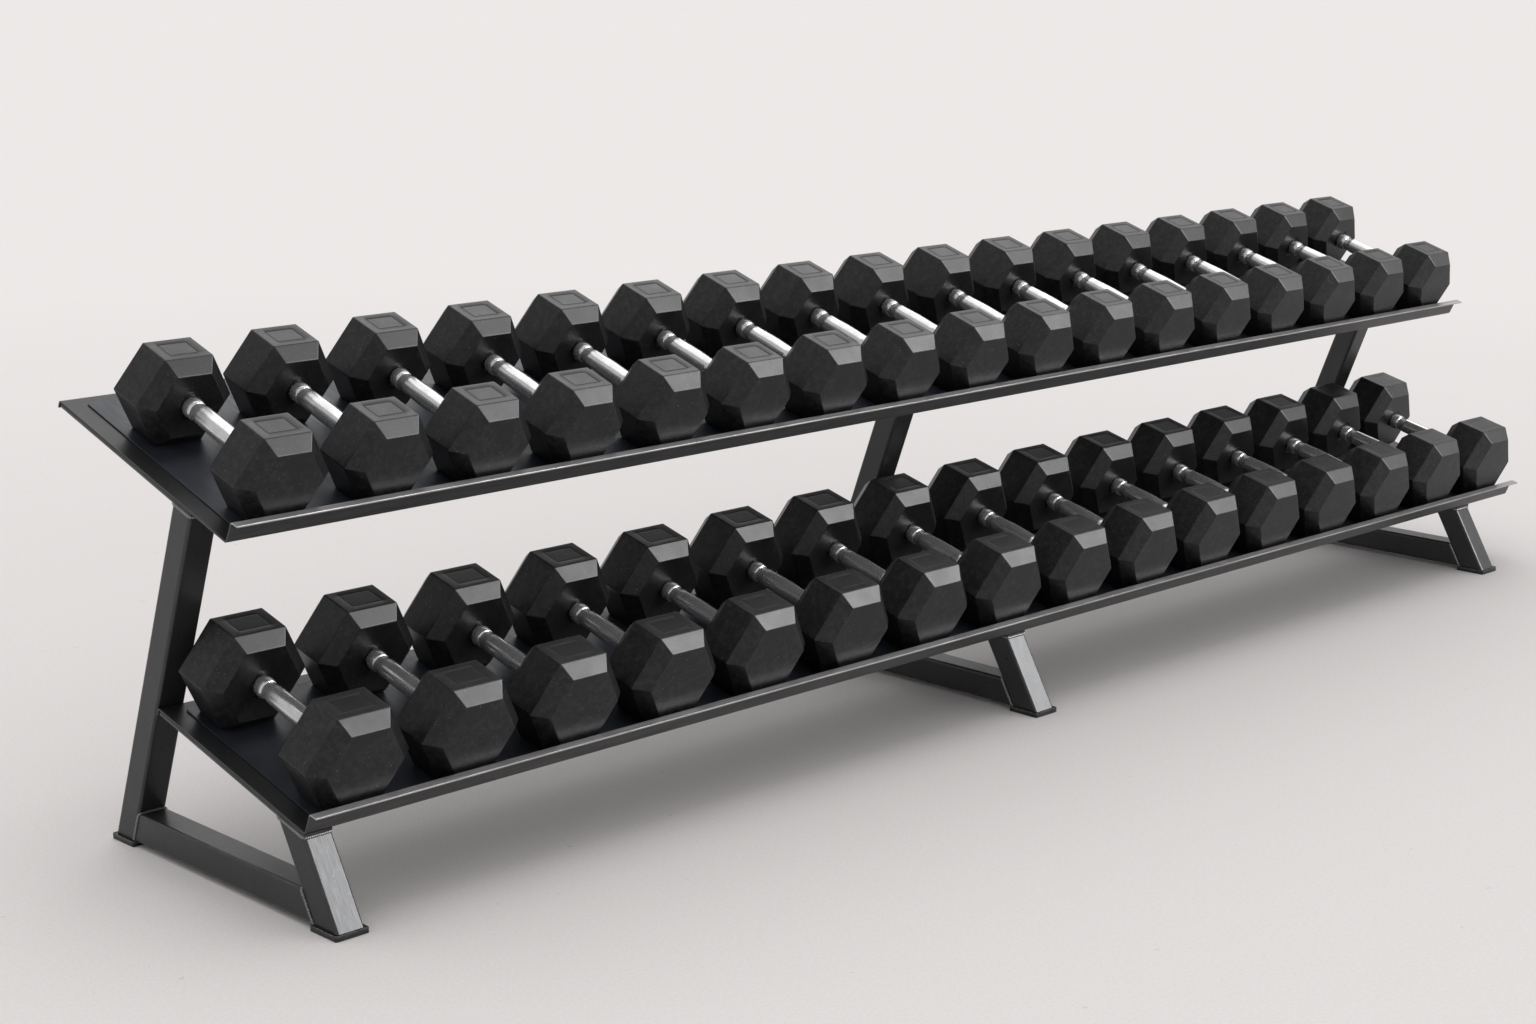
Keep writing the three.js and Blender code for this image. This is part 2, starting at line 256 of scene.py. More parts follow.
class Sheet:
    """A material's node tree, with short calls for the layers that the finishes share."""

    def __init__(self, name: str) -> None:
        """Starts a material with one surface shader, fed by Object coordinates."""
        self.material = bpy.data.materials.new(name)
        self.material.use_nodes = True
        self.nodes = self.material.node_tree.nodes
        self.links = self.material.node_tree.links
        self.shader = self.nodes["Principled BSDF"]
        self.place = self.nodes.new("ShaderNodeTexCoord").outputs["Object"]

    def set(self, **values: float | Colour) -> None:
        """Sets even values on the shader's own sockets, named with _ for a space."""
        for name, value in values.items():
            socket = self.shader.inputs[name.replace("_", " ")]
            socket.default_value = (*value, 1.0) if isinstance(value, tuple) else value

    def stretched(self, scale: tuple[float, float, float], turn: float = 0.0) -> bpy.types.NodeSocket:
        """Object coordinates turned about the rack's length and scaled along each way."""
        mapping = self.nodes.new("ShaderNodeMapping")
        mapping.inputs["Scale"].default_value = scale
        mapping.inputs["Rotation"].default_value = (turn, 0.0, 0.0)
        self.links.new(self.place, mapping.inputs["Vector"])
        return mapping.outputs["Vector"]

    def noise(self, scale: float, detail: float = 3.0, rough: float = 0.5,
              place: bpy.types.NodeSocket | None = None) -> bpy.types.NodeSocket:
        """Cloudy noise, about 0 to 1 round 0.5."""
        node = self.nodes.new("ShaderNodeTexNoise")
        for name, value in (("Scale", scale), ("Detail", detail), ("Roughness", rough)):
            node.inputs[name].default_value = value
        self.links.new(place or self.place, node.inputs["Vector"])
        return node.outputs["Fac"]

    def ramp(self, value: bpy.types.NodeSocket, low: float, high: float, start: float = 0.0,
             end: float = 1.0) -> bpy.types.NodeSocket:
        """Maps low..high of a value to start..end, clamped."""
        node = self.nodes.new("ShaderNodeMapRange")
        for name, number in (("From Min", low), ("From Max", high), ("To Min", start), ("To Max", end)):
            node.inputs[name].default_value = number
        self.links.new(value, node.inputs["Value"])
        return node.outputs["Result"]

    def sum(self, kind: str, a: bpy.types.NodeSocket,
            b: bpy.types.NodeSocket | float) -> bpy.types.NodeSocket:
        """One arithmetic step between two values."""
        node = self.nodes.new("ShaderNodeMath")
        node.operation = kind
        self.links.new(a, node.inputs[0])
        if isinstance(b, float):
            node.inputs[1].default_value = b
        else:
            self.links.new(b, node.inputs[1])
        return node.outputs["Value"]

    def wear(self) -> bpy.types.NodeSocket:
        """The wear value laid on the mesh, which also carries painted highlights on the trays, tubes and
        feet.
        """
        node = self.nodes.new("ShaderNodeAttribute")
        node.attribute_name = "wear"
        return node.outputs["Fac"]

    def tint(self, share: bpy.types.NodeSocket, under: Colour | bpy.types.NodeSocket,
             over: Colour) -> bpy.types.NodeSocket:
        """Colour that goes from under to over as the share goes from 0 to 1."""
        node = self.nodes.new("ShaderNodeMix")
        node.data_type = "RGBA"
        colours = [socket for socket in node.inputs if socket.type == "RGBA"]
        self.links.new(share, node.inputs["Factor"])
        if isinstance(under, tuple):
            colours[0].default_value = (*under, 1.0)
        else:
            self.links.new(under, colours[0])
        colours[1].default_value = (*over, 1.0)
        return next(socket for socket in node.outputs if socket.type == "RGBA")

    def feed(self, name: str, value: bpy.types.NodeSocket) -> None:
        """Joins a value that varies over the surface to a socket of the shader."""
        self.links.new(value, self.shader.inputs[name])

    def bump(self, *layers: tuple[bpy.types.NodeSocket, float]) -> None:
        """Raises the surface by each pair of height value and depth in metres, one on another."""
        normal = None
        for height, depth in layers:
            node = self.nodes.new("ShaderNodeBump")
            node.inputs["Distance"].default_value = depth
            self.links.new(height, node.inputs["Height"])
            if normal is not None:
                self.links.new(normal, node.inputs["Normal"])
            normal = node.outputs["Normal"]
        self.links.new(normal, self.shader.inputs["Normal"])


@dataclass(frozen=True)
class Finish:
    """What a surface is painted, plated or moulded in."""

    name: str
    base: Colour
    pale: Colour
    rough: tuple[float, float]
    made: ClassVar[dict[str, bpy.types.Material]] = {}

    def material(self) -> bpy.types.Material:
        """The Blender material, made on first use and shared after that."""
        if self.name not in self.made:
            sheet = Sheet(self.name)
            self.dress(sheet)
            self.made[self.name] = sheet.material
        return self.made[self.name]

    def dress(self, sheet: Sheet) -> None:
        """Lays the finish's own layers on the sheet."""
        raise NotImplementedError


@dataclass(frozen=True)
class TubePaint(Finish):
    """Satin gunmetal powder paint, a little paler on the rounded corners: partly polished by handling, partly
    a painted highlight.
    """

    metal: float = 0.35

    def dress(self, sheet: Sheet) -> None:
        """Soft mottling, fine orange peel, pale corners that are rubbed wear and painted highlight in one,
        and sparse pale nicks.
        """
        cloud = sheet.ramp(sheet.noise(9.0, 4.0, 0.6), 0.3, 0.7)
        brushed = sheet.noise(1.0, 3.0, 0.6, sheet.stretched((420.0, 60.0, 26.0)))
        nicks = sheet.ramp(sheet.noise(260.0, 2.0, 0.5), 0.75, 0.775)
        # Pale tint on rounded corners and cut ends from the wear attribute: partly rubbed wear, partly a
        # painted highlight along the edges.
        rubbed = sheet.sum("MULTIPLY", sheet.wear(), sheet.ramp(sheet.noise(34.0, 4.0, 0.7), 0.35, 0.65))
        coat = sheet.tint(sheet.sum("MULTIPLY", cloud, 0.5), self.base, self.pale)
        coat = sheet.tint(sheet.sum("MULTIPLY", rubbed, 0.14), coat, (0.20, 0.20, 0.205))
        sheet.feed("Base Color", sheet.tint(sheet.sum("MULTIPLY", nicks, 0.6), coat, (0.30, 0.29, 0.28)))
        sheet.feed("Roughness", sheet.ramp(brushed, 0.3, 0.7, *self.rough))
        sheet.set(Metallic=self.metal, Specular_IOR_Level=0.5)
        sheet.bump((sheet.noise(900.0, 2.0), 0.00006), (brushed, 0.00004))


@dataclass(frozen=True)
class SheetPaint(Finish):
    """Semi-gloss black paint on bent sheet, with faint rubbing marks along the rack and a painted highlight
    along the lip.
    """

    def dress(self, sheet: Sheet) -> None:
        """Long fine scratches, dull clouds, and a pale bare-metal tint: painted highlight on the lip's top
        edge, partly rubbed wear; painted reflection on the lip face; wear at the end edges.
        """
        cloud = sheet.noise(7.0, 4.0, 0.6)
        scratches = sheet.noise(1.0, 4.0, 0.75, sheet.stretched((14.0, 700.0, 700.0)))
        nicks = sheet.ramp(sheet.noise(230.0, 2.0, 0.5), 0.74, 0.77)
        streaks = sheet.noise(1.0, 5.0, 0.75, sheet.stretched((9.0, 260.0, 260.0)))
        # The wear attribute paints the pale tint below: painted highlight and painted reflection on the lip,
        # real wear at the end edges.
        rubbed = sheet.sum("MULTIPLY", sheet.wear(), sheet.ramp(streaks, 0.10, 0.60))
        coat = sheet.tint(sheet.sum("MULTIPLY", sheet.ramp(cloud, 0.35, 0.7), 0.5), self.base, self.pale)
        coat = sheet.tint(rubbed, coat, (0.46, 0.45, 0.45))
        sheet.feed("Base Color", sheet.tint(sheet.sum("MULTIPLY", nicks, 0.7), coat, (0.30, 0.29, 0.28)))
        sheet.feed("Metallic", sheet.ramp(rubbed, 0.0, 1.0, 0.15, 0.60))
        sheet.feed("Roughness", sheet.ramp(scratches, 0.3, 0.7, *self.rough))
        sheet.set(Specular_IOR_Level=0.32)
        sheet.bump((sheet.noise(800.0, 2.0), 0.00004), (scratches, 0.00003))


@dataclass(frozen=True)
class MatRubber(Finish):
    """Smooth satin rubber sheet, with pale bluish clouds that are painted sheen, and rubbed and dusty
    patches.
    """

    def dress(self, sheet: Sheet) -> None:
        """Clouds of painted bluish sheen over the rubber's uneven tone, which also vary the polish, drag
        marks front to rear, and fine dust.
        """
        cloud = sheet.noise(6.0, 5.0, 0.65)
        drags = sheet.noise(1.0, 4.0, 0.7, sheet.stretched((120.0, 9.0, 9.0)))
        dust = sheet.ramp(sheet.noise(520.0, 3.0, 0.7), 0.66, 0.74)
        # Painted sheen: the cloud tints the liner from its base to a paler bluish colour standing in for its
        # cloudy reflections, partly its own uneven tone.
        coat = sheet.tint(sheet.ramp(cloud, 0.35, 0.68), self.base, self.pale)
        sheet.feed("Base Color", sheet.tint(sheet.sum("MULTIPLY", dust, 0.35), coat, (0.16, 0.16, 0.165)))
        sheet.feed("Roughness", sheet.sum("ADD", sheet.ramp(cloud, 0.3, 0.7, *self.rough),
                                          sheet.ramp(drags, 0.35, 0.7, -0.05, 0.08)))
        sheet.set(Specular_IOR_Level=0.35)
        sheet.bump((sheet.noise(1400.0, 2.0), 0.00003), (drags, 0.00008))


@dataclass(frozen=True)
class HeadRubber(Finish):
    """Matt moulded rubber over iron, scuffed, with pale rubbed edges and specks of dust."""

    def dress(self, sheet: Sheet) -> None:
        """Fine moulded grain, mottled scuffs, short scratches, rubbed edges and dust."""
        cloud = sheet.ramp(sheet.noise(22.0, 5.0, 0.65), 0.32, 0.72)
        scuffs = sheet.noise(1.0, 5.0, 0.8, sheet.stretched((210.0, 70.0, 24.0), 0.5))
        scuffs = sheet.ramp(scuffs, 0.56, 0.72)
        lines = sheet.noise(1.0, 2.0, 0.5, sheet.stretched((36.0, 900.0, 420.0), 0.9))
        lines = sheet.ramp(lines, 0.69, 0.73)
        specks = sheet.ramp(sheet.noise(430.0, 2.0, 0.55), 0.725, 0.745)
        rubbed = sheet.sum("MULTIPLY", sheet.wear(), sheet.ramp(sheet.noise(85.0, 4.0, 0.7), 0.42, 0.66))
        coat = sheet.tint(cloud, self.base, self.pale)
        coat = sheet.tint(sheet.sum("MULTIPLY", scuffs, 0.30), coat, (0.022, 0.022, 0.023))
        coat = sheet.tint(sheet.sum("MULTIPLY", lines, 0.20), coat, (0.05, 0.05, 0.05))
        coat = sheet.tint(sheet.sum("MULTIPLY", rubbed, 0.30), coat, (0.05, 0.05, 0.052))
        sheet.feed("Base Color", sheet.tint(sheet.sum("MULTIPLY", specks, 0.8), coat, (0.32, 0.31, 0.30)))
        sheet.feed("Roughness", sheet.ramp(cloud, 0.0, 1.0, *self.rough))
        sheet.set(Specular_IOR_Level=0.33)
        sheet.bump((sheet.noise(1500.0, 3.0, 0.6), 0.00003), (sheet.noise(45.0, 2.0), 0.00008))


@dataclass(frozen=True)
class GripChrome(Finish):
    """Smooth polished chrome plate with faint smears and hand marks."""

    def dress(self, sheet: Sheet) -> None:
        """Soft smears, sparse tarnish, and fine polishing lines round the handle."""
        smear = sheet.noise(30.0, 3.0, 0.6)
        tarnish = sheet.ramp(sheet.noise(150.0, 4.0, 0.7), 0.60, 0.74)
        lines = sheet.noise(1.0, 3.0, 0.6, sheet.stretched((40.0, 700.0, 40.0)))
        plate = sheet.tint(sheet.ramp(smear, 0.35, 0.7), self.base, self.pale)
        sheet.feed("Base Color", sheet.tint(sheet.sum("MULTIPLY", tarnish, 0.25), plate, (0.30, 0.295, 0.29)))
        sheet.feed("Roughness", sheet.ramp(smear, 0.3, 0.7, *self.rough))
        sheet.set(Metallic=0.78)
        sheet.bump((smear, 0.00012), (lines, 0.00001))


@dataclass(frozen=True)
class FootPlastic(Finish):
    """Black moulded plastic, with a painted highlight on its glossy rim, and dusty near the floor."""

    def dress(self, sheet: Sheet) -> None:
        """Slight mould grain, dust, and a painted highlight along the rim."""
        cloud = sheet.noise(70.0, 4.0, 0.6)
        dust = sheet.ramp(sheet.noise(420.0, 3.0, 0.7), 0.62, 0.72)
        # Painted highlight: the rim's pale tint stands in for the shine of its gloss.
        rubbed = sheet.sum("MULTIPLY", sheet.wear(), sheet.ramp(sheet.noise(140.0, 4.0, 0.7), 0.45, 0.65))
        coat = sheet.tint(sheet.ramp(cloud, 0.35, 0.7), self.base, self.pale)
        coat = sheet.tint(sheet.sum("MULTIPLY", rubbed, 0.6), coat, (0.22, 0.22, 0.22))
        sheet.feed("Base Color", sheet.tint(sheet.sum("MULTIPLY", dust, 0.3), coat, (0.20, 0.19, 0.18)))
        sheet.feed("Roughness", sheet.ramp(cloud, 0.3, 0.7, *self.rough))
        sheet.bump((sheet.noise(1300.0, 2.0), 0.00005))


@dataclass(frozen=True)
class WeldPaint(Finish):
    """Paint over a weld bead, paler on the crests of its ripples."""

    def dress(self, sheet: Sheet) -> None:
        """Paler ridges, darker between, and a coarse metal grain."""
        grain = sheet.noise(340.0, 4.0, 0.7)
        coat = sheet.tint(sheet.ramp(grain, 0.4, 0.7), self.base, self.pale)
        sheet.feed("Base Color", sheet.tint(sheet.sum("MULTIPLY", sheet.wear(), 0.5), coat, (0.5, 0.5, 0.5)))
        sheet.feed("Roughness", sheet.ramp(grain, 0.3, 0.7, *self.rough))
        sheet.set(Metallic=0.75)
        sheet.bump((grain, 0.00015))


@dataclass(frozen=True)
class PaperFloor(Finish):
    """Pale studio floor with a faint tooth, a few small marks and painted shade near the rack."""

    def dress(self, sheet: Sheet) -> None:
        """Painted shade: a tone darker near the rack that pales away from it, standing in for the fall of the
        studio light; fine mottling, and sparse darker specks.
        """
        # Painted shade and light: a gradient darkens the floor near the rack and pales it far off.
        painted_falloff = sheet.nodes.new("ShaderNodeTexGradient")
        painted_falloff.gradient_type = "SPHERICAL"
        sheet.links.new(sheet.stretched((0.09, 0.09, 0.09)), painted_falloff.inputs["Vector"])
        broad = sheet.ramp(painted_falloff.outputs["Fac"], 0.45, 0.95, 1.0, 0.0)
        tooth = sheet.noise(170.0, 4.0, 0.7)
        specks = sheet.ramp(sheet.noise(34.0, 2.0, 0.5), 0.745, 0.765)
        coat = sheet.tint(broad, self.base, self.pale)
        coat = sheet.tint(sheet.ramp(tooth, 0.40, 0.75, 0.0, 0.22), coat, (0.45, 0.44, 0.43))
        sheet.feed("Base Color", sheet.tint(sheet.sum("MULTIPLY", specks, 0.25), coat, (0.35, 0.34, 0.33)))
        sheet.set(Roughness=self.rough[0], Specular_IOR_Level=0.2)
        sheet.bump((tooth, 0.0003))


TUBE_PAINT = TubePaint("tube_paint", (0.026, 0.0265, 0.028), (0.040, 0.041, 0.043), (0.27, 0.37))
SHEET_PAINT = SheetPaint("tray_paint", (0.016, 0.0165, 0.018), (0.026, 0.0265, 0.028), (0.30, 0.42))
# The liner's pale colour is the painted bluish sheen.
MAT_RUBBER = MatRubber("liner_rubber", (0.013, 0.0148, 0.021), (0.034, 0.039, 0.053), (0.32, 0.48))
HEAD_RUBBER = HeadRubber("head_rubber", (0.0036, 0.0037, 0.0047), (0.0060, 0.0061, 0.0073), (0.35, 0.43))
GRIP_CHROME = GripChrome("grip_chrome", (0.66, 0.66, 0.665), (0.54, 0.54, 0.545), (0.15, 0.27))
FOOT_PLASTIC = FootPlastic("foot_plastic", (0.010, 0.010, 0.011), (0.020, 0.020, 0.021), (0.24, 0.42))
WELD_PAINT = WeldPaint("weld_paint", (0.10, 0.10, 0.105), (0.24, 0.24, 0.245), (0.30, 0.48))
# The floor's base tone is the painted shade near the rack, its pale tone the far floor.
PAPER_FLOOR = PaperFloor("paper_floor", (0.735, 0.708, 0.702), (0.84, 0.812, 0.806), (0.85, 0.85))


# ---------------------------------------------------------------- trays


@dataclass
class Tier:
    """One tray with its liner and bearers, drawn in u along the pan from its front bend, v above it."""

    row: Row
    slope: float
    bearer_start: float
    sheet: float = 3 * MM
    bend: float = 3 * MM
    lip: float = 36 * MM
    lip_splay: float = math.radians(8)
    flange: float = 17 * MM
    flange_rise: float = math.radians(4)
    rear_flange: float = 13 * MM
    gap: float = 0.3 * MM
    liner: float = 2 * MM
    liner_corner: float = 6 * MM
    bearer: float = 6 * MM
    origin: Array = field(init=False)
    depth: float = field(init=False)
    ends: tuple[float, float] = field(init=False)

    def __post_init__(self) -> None:
        """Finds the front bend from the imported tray's box."""
        low, high = (np.array(corner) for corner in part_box(f"{self.row.value}_tray"))
        self.origin = np.zeros(2)
        self.depth = trial = 400 * MM
        section = self._turned(self._section(1.0))
        self.depth = trial + ((high - low)[1] - np.ptp(section[:, 0])) / math.cos(self.slope)
        section = self._turned(self._section(1.0))
        self.origin = low[1:] - section.min(axis=0)
        self.ends = (low[0], high[0])

    def _turned(self, flat: Array) -> Array:
        """Points given by u and v as y and z, turned to the pan's slope."""
        cos, sin = math.cos(self.slope), math.sin(self.slope)
        return self.origin + flat @ np.array([[cos, sin], [-sin, cos]])

    def in_rack(self, points: Array) -> Array:
        """Points given by x, u and v in the rack's frame."""
        return np.concatenate([points[..., :1], self._turned(points[..., 1:])], axis=-1)

    def _section(self, thickness: float) -> Array:
        """Outline of the bent sheet: its centre line, half a sheet to each side.

        Args:
            thickness: Share of the sheet's thickness, under 1 at the broken end edges.

        Returns:
            Outline points in u and v, shape (n, 2).
        """
        mid = self.sheet / 2
        bend = np.array([mid, mid])
        lip_top = bend + self.lip * np.array([-math.sin(self.lip_splay), math.cos(self.lip_splay)])
        tip = lip_top + self.flange * np.array([-math.cos(self.flange_rise), math.sin(self.flange_rise)])
        rear = self.depth - mid
        corners = np.array([tip, lip_top, bend, (rear, mid), (rear, self.sheet - self.rear_flange)])
        line, along = fillet(corners, self.bend + mid, 6, False, 1.2 * MM)
        side = np.stack([-along[:, 1], along[:, 0]], axis=1) * (mid * thickness)
        taper = 0.45
        side[[0, -1]] *= taper
        break_in = np.array([[0.5 * MM], [-0.5 * MM]])
        inner = line[[0, -1]] + along[[0, -1]] * break_in
        full = side[[0, -1]] / taper
        line = np.concatenate([line[:1], inner[:1], line[1:-1], inner[1:], line[-1:]])
        side = np.concatenate([side[:1], full[:1], side[1:-1], full[1:], side[-1:]])
        return np.concatenate([line + side, (line - side)[::-1]])

    def build(self) -> None:
        """Makes the tray, the liner and the three bearers."""
        self._tray()
        self._liner()
        for side in Side:
            self._bearer(side)

    def _tray(self) -> None:
        """Carries the section along the rack, its free front edge a hair out of true as bent sheet is."""
        start, end = self.ends
        broken_edge, plain_end, count = 0.6 * MM, 3 * MM, 110
        inner = np.linspace(start + plain_end, end - plain_end, count)
        stations = np.concatenate([[start, start + broken_edge], inner, [end - broken_edge, end]])
        whole, broken = self._section(1.0), self._section(0.5)
        sections = np.repeat(whole[None], len(stations), axis=0)
        sections[[0, -1]] = broken
        rise = smooth_step(8 * MM, self.lip, sections[..., 1])
        sway = 0.35 * np.sin(stations * 4.1) + 0.2 * np.sin(stations * 9.7 + 1.0)
        sections[..., 0] += rise * (sway * MM)[:, None] * (sections[..., 0] < 0.02)
        x = np.broadcast_to(stations[:, None, None], sections.shape[:2] + (1,))
        rings = self.in_rack(np.concatenate([x, sections], axis=2))
        lip_top = self.lip + self.sheet
        # Painted highlight: the lip's top edge and return flange get a pale bare-metal tint, partly rubbed
        # wear, standing in for the bright reflection along that strip.
        rubbed = smooth_step(lip_top - 5 * MM, lip_top - 2.5 * MM, whole[:, 1])
        # Painted reflection: the whole lip face gets a faint pale tint for the bright floor it mirrors; at
        # the two end edges the same faint tint is real edge wear.
        lip_reflection_and_end_wear = 0.12
        wear = np.maximum(rubbed, lip_reflection_and_end_wear) * (whole[:, 0] < 0.0)
        wear = np.repeat(wear[None], len(stations), axis=0)
        wear[[0, 1, -2, -1]] = np.maximum(wear[0], lip_reflection_and_end_wear)
        name = f"{self.row.value}_tray"
        settle(make_piece(f"{name}_sheet", SHEET_PAINT.material(), rings, wear), RACK, Slot.TRAY, name)

    def _slab(self, node: str, finish: Finish, slot: Slot, corner: float, floor: float, height: float,
              start: float, depth: float) -> None:
        """A flat piece with rolled edges that stands for a CAD node of this tier.

        Args:
            node: CAD node, which gives the place along the rack.
            finish: What it is made of.
            slot: Material slot of the record.
            corner: Corner radius.
            floor: v of its underside.
            height: Its thickness.
            start: u of its front edge.
            depth: Its size along u.
        """
        low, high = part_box(node)
        roll = 0.8 * MM
        profile = np.array([(3 * roll, 0), (roll, 0), (0.3 * roll, 0.3 * roll), (0, roll), (0, height - roll),
                            (0.3 * roll, height - 0.3 * roll), (roll, height), (3 * roll, height)])
        rings = stack(high.x - low.x, depth, corner, profile)
        rings += np.array([(low.x + high.x) / 2, start + depth / 2, floor])
        # High on the rolled edges; on the bearers the tube paint turns this into pale edges, partly wear and
        # partly a painted highlight.
        wear = np.repeat(np.exp(-profile[:, :1] / roll), rings.shape[1], axis=1)
        settle(make_piece(f"{node}_piece", finish.material(), self.in_rack(rings), wear), RACK, slot, node)

    def _liner(self) -> None:
        """The rubber sheet that lies on the pan."""
        front, rear = 12 * MM, 26 * MM
        self._slab(f"{self.row.value}_tray_liner", MAT_RUBBER, Slot.LINER, self.liner_corner,
                   self.sheet + self.gap, self.liner, front, self.depth - front - rear)

    def _bearer(self, side: Side) -> None:
        """The flat bar under the pan across one frame."""
        rear = 8 * MM
        self._slab(f"{self.row.value}_bearer_{side.value}", TUBE_PAINT, Slot.FRAME, 1.2 * MM,
                   -self.gap - self.bearer, self.bearer, self.bearer_start,
                   self.depth - self.bearer_start - rear)

    def seat(self) -> tuple[Array, Array]:
        """A point on the bearers' underside and its upward normal, where the tubes end.

        Returns:
            The point and the unit normal, each of shape (3,).
        """
        point = self.in_rack(np.array([0.0, 0.0, -2 * self.gap - self.bearer]))
        return point, np.array([0.0, -math.sin(self.slope), math.cos(self.slope)])


# ---------------------------------------------------------------- frames


@dataclass
class SquareTube:
    """Square tube with rounded corners, cut by a plane at each end."""

    middle: Array
    along: Array
    start: tuple[Array, Array]
    end: tuple[Array, Array]
    size: float = 50 * MM
    wall: float = 3 * MM
    corner: float = 5 * MM

    def _section(self, inset: float) -> Array:
        """The section drawn in by inset, as offsets from the axis in space, shape (n, 3)."""
        side = self.size - 2 * inset
        flat = rounded_rectangle(side, side, max(self.corner - inset, 1.2 * MM), 5)
        across = np.array([0.0, -self.along[2], self.along[1]])
        return flat[:, :1] * np.array([1.0, 0.0, 0.0]) + flat[:, 1:] * across

    def _cut(self, section: Array, plane: tuple[Array, Array], back: float) -> Array:
        """Where lines along the tube from each section point meet a plane, less a set-back.

        The distance along the line is (plane point - line point) . normal / direction . normal.
        """
        point, normal = plane
        reach = ((point - self.middle - section) @ normal) / (self.along @ normal)
        return self.middle + section + (reach + back)[:, None] * self.along

    def outline(self, at_end: bool, out: float = 0.0) -> Array:
        """The outer edge of one cut end, shape (n, 3)."""
        return self._cut(self._section(-out), self.end if at_end else self.start, 0.0)

    def surface(self) -> tuple[Array, Array]:
        """Outer skin, far rim, bore and near rim as one loop of rings.

        Returns:
            Rings of shape (k, n, 3), and the wear at each point, high on the rounded corners, where it also
            paints a highlight.
        """
        edge, hold = 0.5 * MM, 3 * MM
        outer, bore = 0.0, self.wall
        plan = [(edge, False, 0.0), (outer, False, edge), (outer, False, hold), (outer, True, -hold),
                (outer, True, -edge), (edge, True, 0.0), (bore - edge, True, 0.0), (bore, True, -edge),
                (bore, False, edge), (bore - edge, False, 0.0)]
        rings = np.stack([self._cut(self._section(inset), self.end if far else self.start, back)
                          for inset, far, back in plan])
        flat = np.abs(rounded_rectangle(self.size, self.size, self.corner, 5))
        rounded = smooth_step(self.size / 2 - self.corner * 0.9, self.size / 2 - self.corner * 0.35,
                              flat.min(axis=1))
        # Painted highlight, partly wear: the rounded corners and cut ends get the pale tint of the tube
        # paint.
        wear = np.repeat(rounded[None], len(plan), axis=0)
        wear[[0, 5]] = 1.0
        return rings, wear


@dataclass
class WeldBead:
    """A rippled bead laid round a joint."""

    path: Array
    normal: Array
    radius: float = 2.3 * MM
    ripple: float = 3.4 * MM
    spacing: float = 0.85 * MM
    seed: int = 0

    def surface(self) -> tuple[Array, Array]:
        """A round section carried along the even path, its radius r (1 + a sin(2 pi s / ripple)).

        Returns:
            Rings of shape (k, 10, 3), and the wear at each point, high on the ridges.
        """
        closed = np.concatenate([self.path, self.path[:1]])
        length = np.concatenate([[0.0], np.cumsum(np.linalg.norm(np.diff(closed, axis=0), axis=1))])
        count = int(length[-1] / self.spacing)
        at = np.linspace(0.0, length[-1], count, endpoint=False)
        centre = np.stack([np.interp(at, length, closed[:, axis]) for axis in range(3)], axis=1)
        ahead = np.roll(centre, -2, axis=0) - np.roll(centre, 2, axis=0)
        ahead /= np.linalg.norm(ahead, axis=1, keepdims=True)
        outward = np.cross(ahead, self.normal)
        outward /= np.linalg.norm(outward, axis=1, keepdims=True)
        waves = round(length[-1] / self.ripple)
        phase = 2 * np.pi * waves * at / length[-1]
        uneven = np.random.default_rng(self.seed).normal(0.0, 0.05, waves)
        uneven = uneven[(waves * at / length[-1]).astype(int)]
        ridge = np.sin(phase)
        reach = self.radius * (1.0 + 0.13 * ridge + uneven)
        angle = np.linspace(0.0, 2 * np.pi, 10, endpoint=False)
        spokes = outward[:, None] * np.cos(angle)[None, :, None] + self.normal * np.sin(angle)[None, :, None]
        wear = np.repeat(np.clip(ridge, 0.0, 1.0)[:, None], len(angle), axis=1)
        return centre[:, None] + spokes * reach[:, None, None], wear


